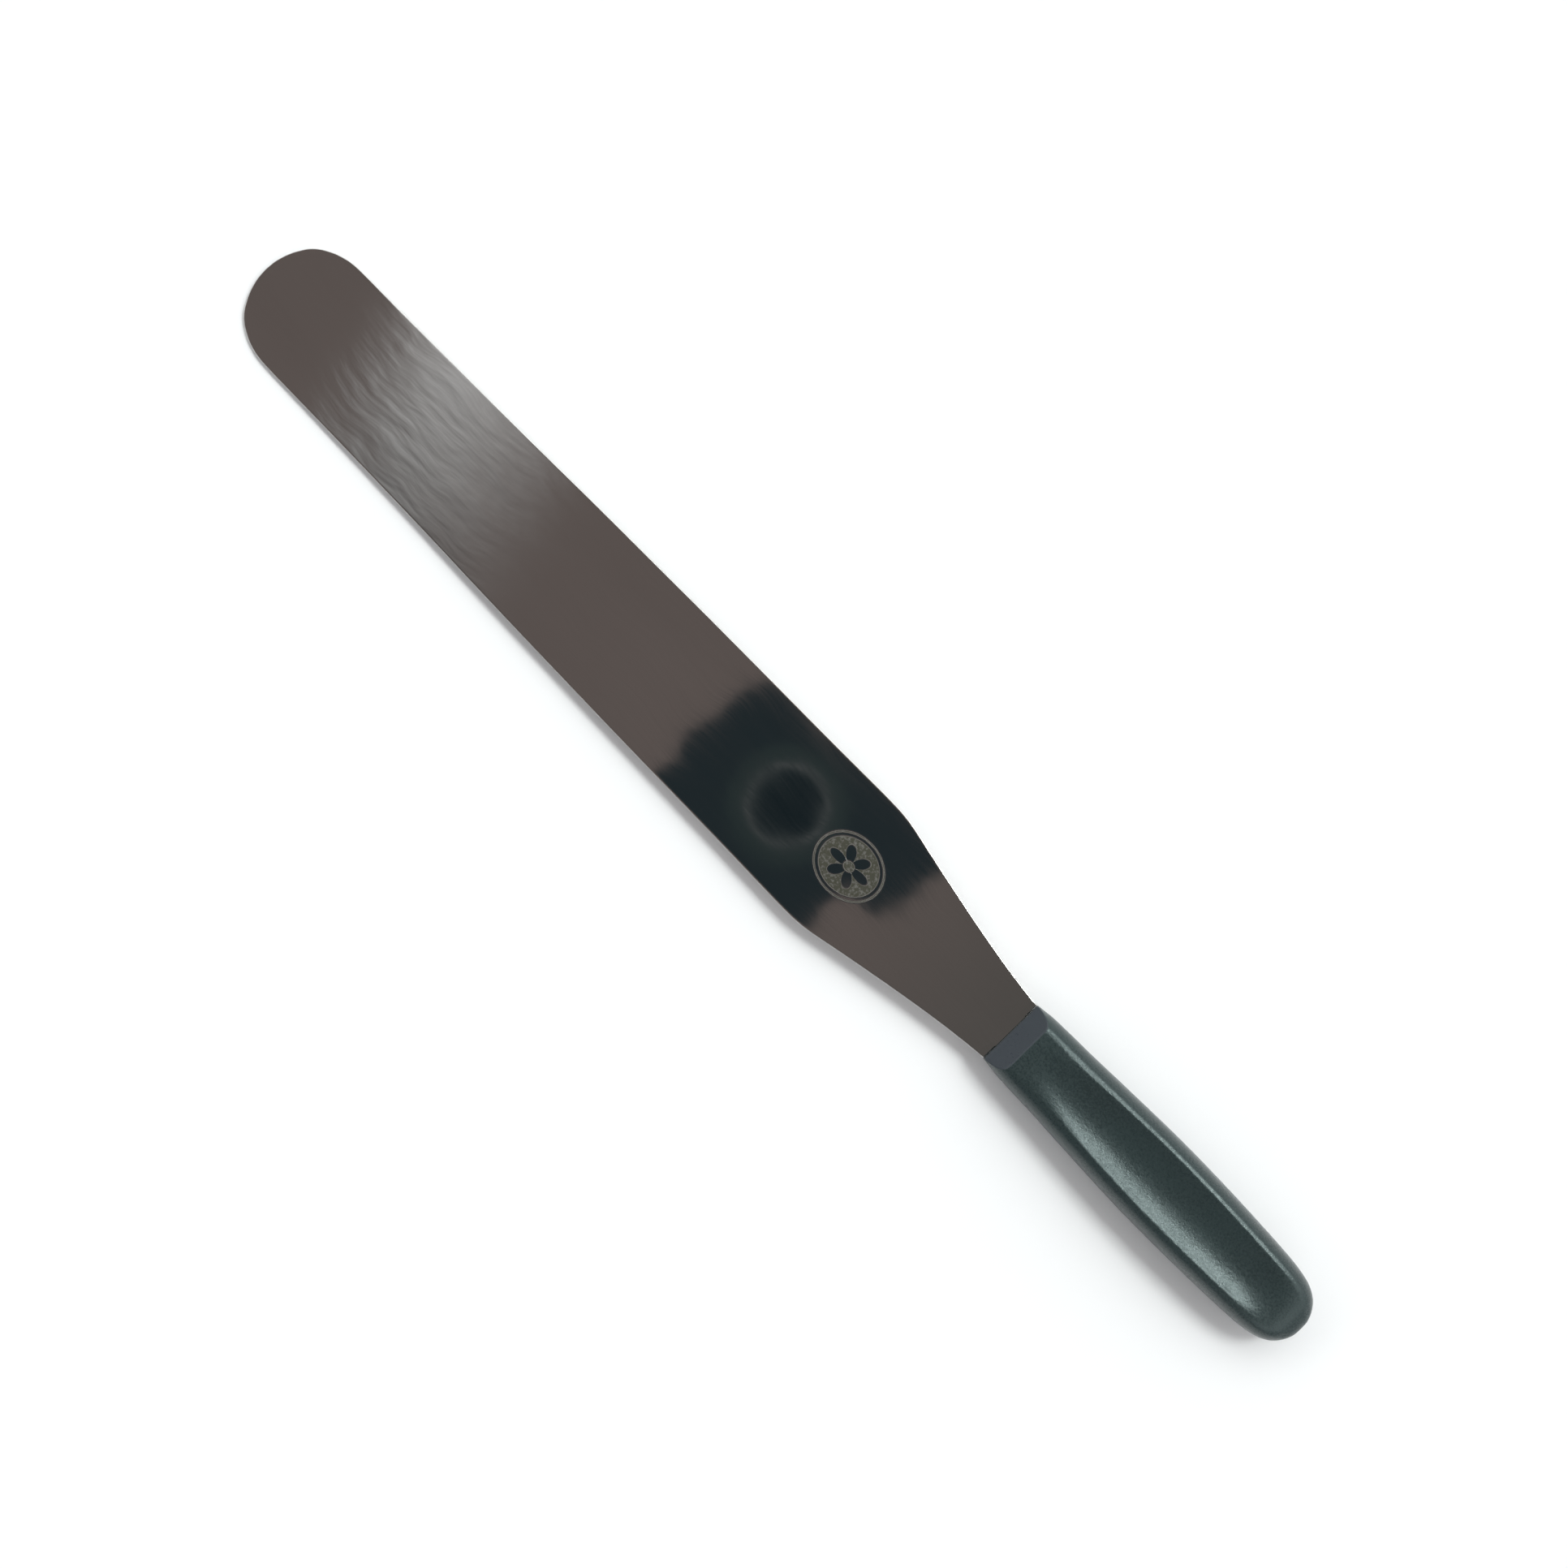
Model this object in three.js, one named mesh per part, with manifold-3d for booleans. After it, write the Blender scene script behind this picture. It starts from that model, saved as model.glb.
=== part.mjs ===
// Palette knife: a long, flexible, round-tipped stainless blade whose tang is held in a moulded handle.
// Two solids: the blade with its tang, and the handle moulded round it. Millimetres, +Z up.
//
// The knife is drawn level first: X = 0 at the handle's front edge, +X to the butt, the blade's middle plane at
// Z = 0 and Y = 0 its plane of symmetry. It is then laid down as it lies on a table: the handle's underside and
// the blade's tip both touch Z = 0, and the origin is under the middle of its length.

import * as THREE from "three";
import { mergeVertices } from "three/addons/utils/BufferGeometryUtils.js";
import Module from "manifold-3d";

const wasm = await Module();
wasm.setup();

// ---------------------------------------------------------------- driving dimensions (mm)

// blade
const BLADE_LENGTH = 254.0; // shoulder to tip, the nominal 10 in blade
const BLADE_T_SHOULDER = 1.3; // thickness at the shoulder
const BLADE_T_TIP = 0.76; // ground thinner towards the tip
const EDGE_BREAK = 0.2; // polished-off edge all round
const SHOULDER_GAP = 0.3; // shoulder to handle front face
// half-width along the exposed blade, tip to shoulder: [x, half-width]
const BLADE_HALF_WIDTH = [
  [-BLADE_LENGTH, 0.0], [-253.85, 2.2], [-253.4, 4.4], [-252.6, 6.75], [-251.6, 8.75], [-250.2, 10.9], [-248.2, 12.75],
  [-246.3, 13.9], [-244.3, 14.85], [-242.4, 15.45], [-240.6, 15.84], [-238.2, 16.06], [-234.7, 16.16], [-223.0, 16.22],
  [-205.0, 16.36], [-186.3, 16.6], [-157.4, 17.2], [-137.5, 17.48], [-118.6, 17.72], [-99.3, 17.88], [-79.7, 18.02],
  [-66.0, 18.2], [-60.6, 18.26], [-56.8, 18.22], [-54.8, 18.12], [-52.8, 17.93], [-50.8, 17.62], [-48.8, 17.25],
  [-45.0, 16.45], [-41.3, 15.68], [-33.5, 14.13], [-25.7, 12.65], [-18.0, 11.3], [-10.3, 10.12], [-2.5, 9.16],
  [-SHOULDER_GAP, 8.95],
];

// tang, inside the handle
const TANG_LENGTH = 78.0;
const TANG_HALF_WIDTH = 5.2;
const TANG_END_R = 3.0; // corner radius at the tang's end
const TANG_HOLE_R = 2.3; // retention holes
const TANG_HOLES_X = [28.0, 60.0];
const FIT_GAP = 0.3; // clearance between tang and moulding, all round

// handle
const HANDLE_LENGTH = 99.05;
const HANDLE_HALF_WIDTH = [
  [0.0, 9.08], [1.4, 9.22], [5.2, 9.66], [10.0, 9.84], [17.0, 10.02], [28.4, 10.48], [36.0, 10.76], [44.0, 11.02],
  [52.0, 11.12], [60.0, 11.06], [67.0, 10.9], [75.0, 10.64], [83.0, 10.26], [86.7, 9.98], [90.4, 9.45], [92.3, 8.98],
  [94.3, 8.15], [96.2, 6.85], [97.7, 5.0], [98.55, 3.2], [98.95, 1.4], [HANDLE_LENGTH, 0.0],
];
// half-thickness at the crest that runs along each side of the top and bottom
const HANDLE_HALF_HEIGHT = [
  [0.0, 5.9], [6.0, 6.05], [15.0, 6.35], [35.0, 6.95], [52.0, 7.25], [67.0, 7.2], [80.0, 6.8], [86.7, 6.3], [91.2, 5.6],
  [94.3, 4.8], [96.7, 3.7], [98.3, 2.4], [98.87, 1.3], [HANDLE_LENGTH, 0.0],
];
const CREST_INSET = 3.9; // from the side of the handle to the crest
const DISH_START = 8.0; // the long dished panel, top and bottom
const DISH_END = 94.5;
const DISH_DEPTH = 1.35;
const NOSE_LAND = 1.55; // half-height of the upright land that the blade leaves from
const NOSE_BEVEL_DEG = 41; // slanting flat nose faces, above and below the blade

// ---------------------------------------------------------------- helpers

// smooth (monotone cubic) curve through a table of [x, value]
function curve(table) {
  const n = table.length;
  const slope = [];
  for (let i = 0; i < n - 1; i++) slope.push((table[i + 1][1] - table[i][1]) / (table[i + 1][0] - table[i][0]));
  const tan = [slope[0]];
  for (let i = 1; i < n - 1; i++) {
    const a = slope[i - 1], b = slope[i];
    const h0 = table[i][0] - table[i - 1][0], h1 = table[i + 1][0] - table[i][0];
    tan.push(a * b <= 0 ? 0 : (3 * (h0 + h1)) / ((2 * h1 + h0) / a + (h1 + 2 * h0) / b));
  }
  tan.push(slope[n - 2]);
  return (x) => {
    if (x <= table[0][0]) return table[0][1];
    if (x >= table[n - 1][0]) return table[n - 1][1];
    let i = 0;
    while (x > table[i + 1][0]) i++;
    const h = table[i + 1][0] - table[i][0], t = (x - table[i][0]) / h, t2 = t * t, t3 = t2 * t;
    return (2 * t3 - 3 * t2 + 1) * table[i][1] + (t3 - 2 * t2 + t) * h * tan[i]
      + (3 * t2 - 2 * t3) * table[i + 1][1] + (t3 - t2) * h * tan[i + 1];
  };
}

// closed solid through equal-length rings of points, counter-clockwise about +X, with a flat fan at each end
function loft(rings) {
  const n = rings[0].length, pos = [], idx = [];
  for (const r of rings) for (const p of r) pos.push(p.x, p.y, p.z);
  for (let i = 0; i < rings.length - 1; i++) {
    for (let j = 0; j < n; j++) {
      const a = i * n + j, b = i * n + ((j + 1) % n), c = a + n, d = b + n;
      idx.push(a, b, c, b, d, c);
    }
  }
  const cap = (ring, base, flip) => {
    const m = ring.reduce((s, p) => s.add(p), new THREE.Vector3()).divideScalar(n);
    const k = pos.length / 3;
    pos.push(m.x, m.y, m.z);
    for (let j = 0; j < n; j++) {
      const a = base + j, b = base + ((j + 1) % n);
      if (flip) idx.push(k, b, a);
      else idx.push(k, a, b);
    }
  };
  cap(rings[0], 0, true);
  cap(rings[rings.length - 1], (rings.length - 1) * n, false);
  const g = new THREE.BufferGeometry();
  g.setAttribute("position", new THREE.Float32BufferAttribute(pos, 3));
  g.setIndex(idx);
  return g;
}

function positionsOnly(geometry) {
  const g = geometry.clone();
  g.deleteAttribute("normal");
  g.deleteAttribute("uv");
  return mergeVertices(g, 1e-5);
}

function toManifold(geometry) {
  const g = positionsOnly(geometry);
  const mesh = new wasm.Mesh({
    numProp: 3,
    vertProperties: new Float32Array(g.attributes.position.array),
    triVerts: new Uint32Array(g.index.array),
  });
  return new wasm.Manifold(mesh);
}

function toGeometry(solid) {
  const m = solid.getMesh();
  const g = new THREE.BufferGeometry();
  g.setAttribute("position", new THREE.Float32BufferAttribute(Array.from(m.vertProperties), 3));
  g.setIndex(Array.from(m.triVerts));
  g.computeVertexNormals();
  return g;
}

// ---------------------------------------------------------------- blade with its tang

const bladeHalfWidth = curve(BLADE_HALF_WIDTH);

// one side of the exposed blade, from the tip to the shoulder
function bladeOutline() {
  const xs = [];
  // stations spread as on an arc round the tip
  for (const a of [0, 8, 16, 24, 33, 42, 51, 60, 69, 79, 90]) xs.push(-BLADE_LENGTH + 17 * (1 - Math.cos((a * Math.PI) / 180)));
  for (const x of [-230, -216, -201, -186.3, -172, -157.4, -137.5, -118.6, -99.3, -79.7, -68, -62.5, -58.7, -55.8, -53.3, -51, -48.8, -46.5, -42, -37, -32, -27, -22, -17, -12, -7, -3, -SHOULDER_GAP]) xs.push(x);
  return xs.map((x) => [x, bladeHalfWidth(x)]);
}

function thicknessAt(x) {
  if (x >= -SHOULDER_GAP) return BLADE_T_SHOULDER;
  return BLADE_T_SHOULDER + ((BLADE_T_TIP - BLADE_T_SHOULDER) * (-SHOULDER_GAP - x)) / (BLADE_LENGTH - SHOULDER_GAP);
}

// The blank is symmetric about Y = 0, so its outline is one side, tip to tang end, and each face is a strip of
// triangles between the two sides. Both faces are exact planes: one pair on the ground blade, one on the tang.
function makeBlade() {
  const e = EDGE_BREAK, side = bladeOutline();
  const outer = side.map(([x, y]) => [x, y]);
  const inner = side.map(([x, y], i) => {
    if (i === 0) return [x + e, 0];
    if (i === side.length - 1) return [x - e, y - e];
    const dx = side[i + 1][0] - side[i - 1][0], dy = side[i + 1][1] - side[i - 1][1], l = Math.hypot(dx, dy);
    return [x + (dy / l) * e, y - (dx / l) * e];
  });
  const shoulder = side.length - 1;
  const w = TANG_HALF_WIDTH, r = TANG_END_R, end = TANG_LENGTH;
  outer.push([-SHOULDER_GAP, w]);
  inner.push([-SHOULDER_GAP - e, w - e]);
  for (const deg of [0, 30, 60, 90]) {
    const a = (deg * Math.PI) / 180;
    outer.push([end - r + r * Math.sin(a), w - r + r * Math.cos(a)]);
    inner.push([end - r + (r - e) * Math.sin(a), w - r + (r - e) * Math.cos(a)]);
  }
  const M = outer.length, N = 2 * M - 1;
  const R = (i) => i, L = (i) => (i === 0 ? 0 : N - i);
  const loop = (pts, level) => {
    const out = pts.map(([x, y]) => [x, y, level(x)]);
    for (let i = M - 1; i > 0; i--) out.push([pts[i][0], -pts[i][1], level(pts[i][0])]);
    return out;
  };
  const half = (x) => thicknessAt(x) / 2;
  const levels = [loop(inner, (x) => -half(x)), loop(outer, (x) => -half(x) + e), loop(outer, (x) => half(x) - e), loop(inner, half)];
  const pos = levels.flat(2), idx = [];
  for (let k = 0; k < 3; k++) {
    for (let j = 0; j < N; j++) {
      const a = k * N + j, b = k * N + ((j + 1) % N), c = a + N, d = b + N;
      idx.push(a, c, b, b, c, d);
    }
  }
  const face = [];
  face.push(0, L(1), R(1));
  for (let i = 1; i < M - 1; i++) {
    if (i === shoulder - 1) {
      const t = shoulder + 1;
      face.push(L(i), L(shoulder), L(t), L(i), L(t), R(i), R(i), L(t), R(t), R(i), R(t), R(shoulder));
    } else if (i !== shoulder) face.push(L(i), L(i + 1), R(i), R(i), L(i + 1), R(i + 1));
  }
  for (let k = 0; k < face.length; k += 3) {
    idx.push(face[k] + 3 * N, face[k + 1] + 3 * N, face[k + 2] + 3 * N);
    idx.push(face[k], face[k + 2], face[k + 1]);
  }
  const g = new THREE.BufferGeometry();
  g.setAttribute("position", new THREE.Float32BufferAttribute(pos, 3));
  g.setIndex(idx);
  let solid = toManifold(g);
  for (const hx of TANG_HOLES_X) {
    const drill = new THREE.CylinderGeometry(TANG_HOLE_R, TANG_HOLE_R, 6, 20);
    drill.rotateX(Math.PI / 2);
    drill.translate(hx, 0, 0);
    solid = solid.subtract(toManifold(drill));
  }
  return toGeometry(solid);
}

// ---------------------------------------------------------------- handle

const handleHalfWidth = curve(HANDLE_HALF_WIDTH);
const handleHalfHeight = curve(HANDLE_HALF_HEIGHT);

// the crest comes in from the side by this much; it closes on the middle at the butt
function crestHalfWidth(x) {
  const w = handleHalfWidth(x);
  return Math.max(w - CREST_INSET, 0.42 * w);
}

// how deep the dished panel lies below the crest: 0 on its own outline
function dish(x, y) {
  if (x <= DISH_START || x >= DISH_END) return 0;
  const inx = Math.min(1, (x - DISH_START) / 26), outx = Math.min(1, (DISH_END - x) / 17);
  const grow = Math.sin((inx * Math.PI) / 2) ** 1.15 * Math.sin((outx * Math.PI) / 2) ** 1.1;
  const yd = crestHalfWidth(x) * Math.min(1, Math.sqrt(1 - (1 - inx) ** 2.4)) ;
  const r = Math.abs(y) / Math.max(yd, 1e-6);
  return r >= 1 ? 0 : DISH_DEPTH * grow * (1 - r * r);
}

function noseCeiling(x) {
  return NOSE_LAND + Math.tan((NOSE_BEVEL_DEG * Math.PI) / 180) * Math.max(0, x);
}

// one ring of the handle at station x
function handleRing(x) {
  const w = handleHalfWidth(x), h = handleHalfHeight(x), c = crestHalfWidth(x), top = [];
  for (const deg of [0, 14, 28, 42, 56, 70, 82]) {
    const a = (deg * Math.PI) / 180;
    top.push([c + (w - c) * Math.cos(a), h * Math.sin(a)]);
  }
  for (const f of [1, 0.93, 0.8, 0.6, 0.36, 0.12]) top.push([c * f, h - dish(x, c * f)]);
  const upper = [...top, ...[...top].reverse().map(([y, z]) => [-y, z])];
  const lower = [...top.slice(1)].map(([y, z]) => [-y, -z]);
  const lowerBack = [...top.slice(1)].reverse().map(([y, z]) => [y, -z]);
  return [...upper, ...lower, ...lowerBack].map(([y, z]) => new THREE.Vector3(x, y, z));
}

function makeHandle() {
  const xs = [0, 2.6, 5.2, 7.5, 10, 13, 17, 21.5, 26.5, 32, 38, 45, 52, 59, 65, 70.5, 75.5, 80, 84, 87.2, 89.9, 92.1, 93.9, 95.4, 96.6, 97.5, 98.2, 98.7, 98.97];
  const body = toManifold(loft(xs.map(handleRing)));

  // slanting nose faces: everything above the upper plane and below the lower one is cut away
  const rise = Math.tan((NOSE_BEVEL_DEG * Math.PI) / 180), run = 9, y = 14;
  const wedge = (sgn) => {
    const s = new THREE.Shape();
    s.moveTo(-2, NOSE_LAND - 2 * rise);
    s.lineTo(run, NOSE_LAND + run * rise);
    s.lineTo(-2, NOSE_LAND + run * rise);
    s.closePath();
    const g = new THREE.ExtrudeGeometry(s, { depth: 2 * y, bevelEnabled: false, steps: 1 });
    g.rotateX(Math.PI / 2);
    g.translate(0, y, 0);
    if (sgn < 0) g.rotateX(Math.PI);
    return toManifold(g);
  };

  // the pocket that the tang fills, open at the nose, with a post standing in each of the tang's holes
  const e = FIT_GAP, w = TANG_HALF_WIDTH + e, end = TANG_LENGTH + e, r = TANG_END_R + e;
  const s = new THREE.Shape();
  s.moveTo(-2, -w);
  s.lineTo(end - r, -w);
  s.lineTo(end - r * 0.293, -(w - r * 0.293));
  s.lineTo(end, -(w - r));
  s.lineTo(end, w - r);
  s.lineTo(end - r * 0.293, w - r * 0.293);
  s.lineTo(end - r, w);
  s.lineTo(-2, w);
  s.closePath();
  for (const hx of TANG_HOLES_X) {
    const hole = new THREE.Path();
    const n = 20, hr = TANG_HOLE_R - e;
    hole.moveTo(hx + hr, 0);
    for (let i = 1; i < n; i++) hole.lineTo(hx + hr * Math.cos((-2 * Math.PI * i) / n), hr * Math.sin((-2 * Math.PI * i) / n));
    s.holes.push(hole);
  }
  const t = BLADE_T_SHOULDER + 2 * e;
  const pocket = new THREE.ExtrudeGeometry(s, { depth: t, bevelEnabled: false, steps: 1, curveSegments: 1 });
  pocket.translate(0, 0, -t / 2);

  return toGeometry(body.subtract(wedge(1)).subtract(wedge(-1)).subtract(toManifold(pocket)));
}

// ---------------------------------------------------------------- the knife, laid on its table

const blade = new THREE.Mesh(makeBlade(), new THREE.MeshStandardMaterial({ color: 0xb9b5b0, roughness: 0.16, metalness: 1.0 }));
blade.name = "blade";
const handle = new THREE.Mesh(makeHandle(), new THREE.MeshStandardMaterial({ color: 0x1f2a2a, roughness: 0.46, metalness: 0.0 }));
handle.name = "handle";

const level = new THREE.Group();
level.add(blade, handle);

// The centre of mass is in the blade, so the knife lies nose down: it is tipped about Y until tip and handle are
// both at the same lowest height.
function lowest(mesh, tilt) {
  const p = mesh.geometry.attributes.position;
  let z = Infinity;
  for (let i = 0; i < p.count; i++) z = Math.min(z, p.getZ(i) * Math.cos(tilt) - p.getX(i) * Math.sin(tilt));
  return z;
}
let lo = -0.2, hi = 0;
for (let i = 0; i < 60; i++) {
  const mid = (lo + hi) / 2;
  if (lowest(blade, mid) < lowest(handle, mid)) lo = mid;
  else hi = mid;
}
const REST_TILT = (lo + hi) / 2;
level.rotation.y = REST_TILT;

const knife = new THREE.Group();
knife.name = "palette_knife";
knife.add(level);
knife.updateMatrixWorld(true);
const box = new THREE.Box3().setFromObject(level, true);
level.position.set(-(box.min.x + box.max.x) / 2, 0, -box.min.z);
knife.updateMatrixWorld(true);

export default knife;
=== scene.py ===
import math

import bmesh
import bpy
import numpy as np
from mathutils import Euler, Matrix, Vector

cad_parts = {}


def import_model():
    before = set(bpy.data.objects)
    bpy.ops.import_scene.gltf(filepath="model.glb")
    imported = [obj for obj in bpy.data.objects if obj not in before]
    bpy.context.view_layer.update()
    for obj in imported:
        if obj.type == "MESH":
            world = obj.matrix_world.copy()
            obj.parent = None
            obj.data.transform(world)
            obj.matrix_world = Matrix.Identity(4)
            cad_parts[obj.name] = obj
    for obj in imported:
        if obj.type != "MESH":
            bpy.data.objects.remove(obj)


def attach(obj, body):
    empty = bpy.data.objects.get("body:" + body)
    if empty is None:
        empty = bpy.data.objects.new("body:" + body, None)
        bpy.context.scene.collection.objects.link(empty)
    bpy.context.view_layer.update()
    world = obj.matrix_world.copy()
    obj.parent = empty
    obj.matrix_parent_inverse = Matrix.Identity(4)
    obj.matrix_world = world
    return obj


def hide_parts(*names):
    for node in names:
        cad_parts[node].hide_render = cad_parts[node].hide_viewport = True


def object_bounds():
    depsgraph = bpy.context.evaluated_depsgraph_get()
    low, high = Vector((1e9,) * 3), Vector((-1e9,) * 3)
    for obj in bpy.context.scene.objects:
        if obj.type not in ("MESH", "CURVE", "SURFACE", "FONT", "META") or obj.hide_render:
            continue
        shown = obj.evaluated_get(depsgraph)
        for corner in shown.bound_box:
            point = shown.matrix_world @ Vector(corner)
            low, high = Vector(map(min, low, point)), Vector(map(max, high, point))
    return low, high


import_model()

CAD_BOX = [list(v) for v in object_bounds()]

# ------------------------------------------------------------------ the knife's own level frame, in mm
# X = 0 at the handle's front edge, +X to the butt, the blade's middle plane at Z = 0. The knife lies tipped nose-down.
TILT = math.radians(-1.3034437726478663)
LAID = Vector((0.07748955562897201, 0.0, 0.0061534105468881))
LEVEL_TO_WORLD = Matrix.Translation(LAID) @ Matrix.Rotation(TILT, 4, "Y") @ Matrix.Scale(0.001, 4)
PLACE = Matrix.Translation(LAID) @ Matrix.Rotation(TILT, 4, "Y")


def world(x, y, z):
    return LEVEL_TO_WORLD @ Vector((x, y, z))


# ------------------------------------------------------------------ driving sizes (mm), the same as the frame's
BLADE_LENGTH, T_SHOULDER, T_TIP, SHOULDER_GAP = 254.0, 1.3, 0.76, 0.3
BLADE_HALF_WIDTH = [
    (-254.0, 0.0), (-253.85, 2.2), (-253.4, 4.4), (-252.6, 6.75), (-251.6, 8.75), (-250.2, 10.9), (-248.2, 12.75),
    (-246.3, 13.9), (-244.3, 14.85), (-242.4, 15.45), (-240.6, 15.84), (-238.2, 16.06), (-234.7, 16.16), (-223.0, 16.22),
    (-205.0, 16.36), (-186.3, 16.6), (-157.4, 17.2), (-137.5, 17.48), (-118.6, 17.72), (-99.3, 17.88), (-79.7, 18.02),
    (-66.0, 18.2), (-60.6, 18.26), (-56.8, 18.22), (-54.8, 18.12), (-52.8, 17.93), (-50.8, 17.62), (-48.8, 17.25),
    (-45.0, 16.45), (-41.3, 15.68), (-33.5, 14.13), (-25.7, 12.65), (-18.0, 11.3), (-10.3, 10.12), (-2.5, 9.16),
    (-0.3, 8.95),
]
TANG_LENGTH, TANG_HALF_WIDTH, TANG_END_R, TANG_HOLE_R, TANG_HOLES_X, FIT_GAP = 78.0, 5.2, 3.0, 2.3, (28.0, 60.0), 0.3
HANDLE_LENGTH = 99.05
HANDLE_HALF_WIDTH = [
    (0.0, 9.08), (1.4, 9.22), (5.2, 9.66), (10.0, 9.84), (17.0, 10.02), (28.4, 10.48), (36.0, 10.76), (44.0, 11.02),
    (52.0, 11.12), (60.0, 11.06), (67.0, 10.9), (75.0, 10.64), (83.0, 10.26), (86.7, 9.98), (90.4, 9.45), (92.3, 8.98),
    (94.3, 8.15), (96.2, 6.85), (97.7, 5.0), (98.55, 3.2), (98.95, 1.4), (99.05, 0.0),
]
HANDLE_HALF_HEIGHT = [
    (0.0, 5.9), (6.0, 6.05), (15.0, 6.35), (35.0, 6.95), (52.0, 7.25), (67.0, 7.2), (80.0, 6.8), (86.7, 6.3), (91.2, 5.6),
    (94.3, 4.8), (96.7, 3.7), (98.3, 2.4), (98.87, 1.3), (99.05, 0.0),
]
CREST_INSET, DISH_START, DISH_END, DISH_DEPTH, NOSE_LAND, NOSE_BEVEL = 3.85, 8.0, 94.5, 1.35, 1.55, math.radians(41)
CREST_FALL, CREST_SOFT = math.tan(math.radians(15)), 0.30  # the narrow land outside the crest line falls this steeply; the crest's softening


def monotone(table):
    """A smooth curve through a table that never overshoots it."""
    t = np.array(table, float)
    xs, ys = t[:, 0], t[:, 1]
    h, s = np.diff(xs), np.diff(ys) / np.diff(xs)
    m = np.empty_like(xs)
    m[0], m[-1] = s[0], s[-1]
    for i in range(1, len(xs) - 1):
        a, b = s[i - 1], s[i]
        m[i] = 0.0 if a * b <= 0 else 3 * (h[i - 1] + h[i]) / ((2 * h[i] + h[i - 1]) / a + (h[i] + 2 * h[i - 1]) / b)

    def at(x):
        x = np.clip(np.asarray(x, float), xs[0], xs[-1])
        i = np.clip(np.searchsorted(xs, x, side="right") - 1, 0, len(h) - 1)
        u = (x - xs[i]) / h[i]
        return ((2 * u**3 - 3 * u**2 + 1) * ys[i] + (u**3 - 2 * u**2 + u) * h[i] * m[i]
                + (3 * u**2 - 2 * u**3) * ys[i + 1] + (u**3 - u**2) * h[i] * m[i + 1])

    return at


BLADE_HALF_WIDTH = [(x, 0.9992 * w) for x, w in BLADE_HALF_WIDTH]
blade_half_width = monotone(BLADE_HALF_WIDTH)
handle_half_width = monotone(HANDLE_HALF_WIDTH)
handle_half_height = monotone(HANDLE_HALF_HEIGHT)


def half_thickness(x):
    x = np.asarray(x, float)
    t = T_SHOULDER + (T_TIP - T_SHOULDER) * np.clip((-SHOULDER_GAP - x) / (BLADE_LENGTH - SHOULDER_GAP), 0, 1)
    return t / 2


def make_object(name, verts_mm, faces, smooth=True):
    """A mesh object in mm in the knife's level frame. lay_down() moves it to the shared frame once it is cut."""
    me = bpy.data.meshes.new(name)
    me.from_pydata(np.asarray(verts_mm, float).tolist(), [], faces)
    me.validate()
    me.update()
    if smooth:
        me.shade_smooth()
    ob = bpy.data.objects.new(name, me)
    bpy.context.scene.collection.objects.link(ob)
    return ob


def subtract(target, cutters):
    """Cuts the cutters away and keeps the result as the target's own mesh."""
    for c in cutters:
        mod = target.modifiers.new("cut", "BOOLEAN")
        mod.operation, mod.solver, mod.object = "DIFFERENCE", "EXACT", c
    deps = bpy.context.evaluated_depsgraph_get()
    cut = bpy.data.meshes.new_from_object(target.evaluated_get(deps))
    assert len(cut.polygons) > 0.8 * len(target.data.polygons), "the cut lost the body"
    target.modifiers.clear()
    old = target.data
    target.data = cut
    bpy.data.meshes.remove(old)
    cut.name = target.name
    for c in cutters:
        data = c.data
        bpy.data.objects.remove(c)
        bpy.data.meshes.remove(data)


def prism(name, outline, z0, z1, holes=()):
    """A closed upright prism of an outline, with round holes through it: (x, y, r)."""
    bm = bmesh.new()
    loops = [outline]
    edges = []
    for loop in [*loops, *[[(hx + r * math.cos(a), hy + r * math.sin(a)) for a in np.linspace(0, 2 * math.pi, 49)[:-1]] for hx, hy, r in holes]]:
        vs = [bm.verts.new((x, y, z0)) for x, y in loop]
        edges += [bm.edges.new((vs[i], vs[(i + 1) % len(vs)])) for i in range(len(vs))]
    bmesh.ops.triangle_fill(bm, use_beauty=True, use_dissolve=False, edges=edges, normal=(0, 0, -1))
    faces = list(bm.faces)
    out = bmesh.ops.extrude_face_region(bm, geom=faces)
    bmesh.ops.translate(bm, vec=(0, 0, z1 - z0), verts=[v for v in out["geom"] if isinstance(v, bmesh.types.BMVert)])
    bmesh.ops.recalc_face_normals(bm, faces=bm.faces)
    me = bpy.data.meshes.new(name)
    bm.to_mesh(me)
    bm.free()
    ob = bpy.data.objects.new(name, me)
    bpy.context.scene.collection.objects.link(ob)
    return ob


def lay_down(ob):
    """To metres, in the shared frame, lying on the floor."""
    ob.data.transform(LEVEL_TO_WORLD)
    ob.data.update()
    return ob


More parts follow.
